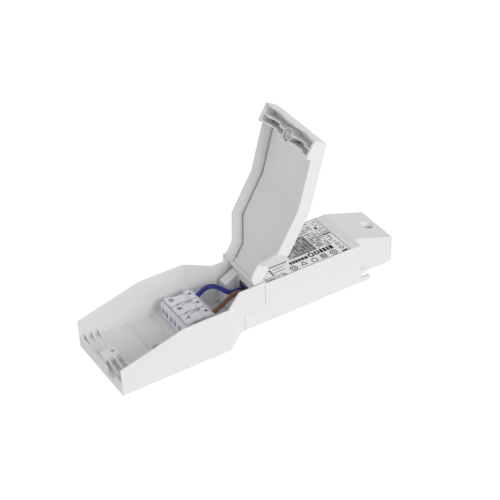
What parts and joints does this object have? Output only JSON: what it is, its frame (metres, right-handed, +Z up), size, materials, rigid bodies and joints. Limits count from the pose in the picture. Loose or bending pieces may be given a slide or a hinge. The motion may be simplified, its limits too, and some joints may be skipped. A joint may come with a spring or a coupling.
{
  "type": "led driver",
  "caption": "Slim white LED driver with a clip-on mains terminal box: hinged lid, cable clamps, lever terminal block and leads into the driver.",
  "frame": {"origin": "middle of the footprint, on the floor", "axes": "+X along the length from the cable entry to the output end, +Y across towards the offset side of the driver, +Z up"},
  "size_m": [0.1504, 0.0406, 0.0919],
  "materials": {
    "white_shell": "satin",
    "label_film": "satin",
    "board_green": "satin",
    "terminal_grey": "matte",
    "dark_moulding": "matte",
    "blue_lacquer": "gloss",
    "ferrite": "matte",
    "yellow_box": "satin",
    "sleeve_navy": "satin",
    "winding_tape": "satin",
    "zinc_steel": "satin",
    "block_lavender": "satin",
    "clamp_brass": "satin",
    "lead_blue": "satin",
    "lead_brown": "satin"
  },
  "bodies": {
    "base": {"driver_case": "white_shell", "driver_bottom": "white_shell", "box_tray": "white_shell", "rating_label": "label_film", "circuit_board": "board_green", "input_terminal": "terminal_grey", "output_terminal": "terminal_grey", "mains_fuse": "dark_moulding", "surge_varistor": "blue_lacquer", "line_choke": "ferrite", "filter_capacitor": "yellow_box", "bridge_rectifier": "dark_moulding", "bulk_capacitor": "sleeve_navy", "transformer_core": "ferrite", "transformer_winding": "winding_tape", "switch_transistor": "dark_moulding", "control_chip": "dark_moulding", "isolation_capacitor": "blue_lacquer", "output_diode": "dark_moulding", "output_capacitor": "sleeve_navy", "terminal_housing": "block_lavender", "pole_clamps": "clamp_brass", "neutral_lead": "lead_blue", "live_lead": "lead_brown"},
    "lid": {"box_lid": "white_shell", "lid_screw": "zinc_steel"},
    "lever_neutral": {"release_lever_neutral": "block_lavender"},
    "lever_earth": {"release_lever_earth": "block_lavender"},
    "lever_live": {"release_lever_live": "block_lavender"}
  },
  "joints": [
    {"name": "lid_hinge", "type": "hinge", "parent": "base", "child": "lid", "pos_m": [-0.00115, 0, 0.02105], "axis": [0, 1, 0], "range_deg": [-121, 0]},
    {"name": "lever_neutral_press", "type": "hinge", "parent": "base", "child": "lever_neutral", "pos_m": [-0.03365, 0.01125, 0.0106], "axis": [0, 1, 0], "range_deg": [0, 4.5], "stiffness_Nm_per_rad": 0.05, "springref_deg": -2.86},
    {"name": "lever_earth_press", "type": "hinge", "parent": "base", "child": "lever_earth", "pos_m": [-0.03365, 0.00395, 0.0106], "axis": [0, 1, 0], "range_deg": [0, 4.5], "stiffness_Nm_per_rad": 0.05, "springref_deg": -2.86},
    {"name": "lever_live_press", "type": "hinge", "parent": "base", "child": "lever_live", "pos_m": [-0.03365, -0.00335, 0.0106], "axis": [0, 1, 0], "range_deg": [0, 4.5], "stiffness_Nm_per_rad": 0.05, "springref_deg": -2.86}
  ]
}
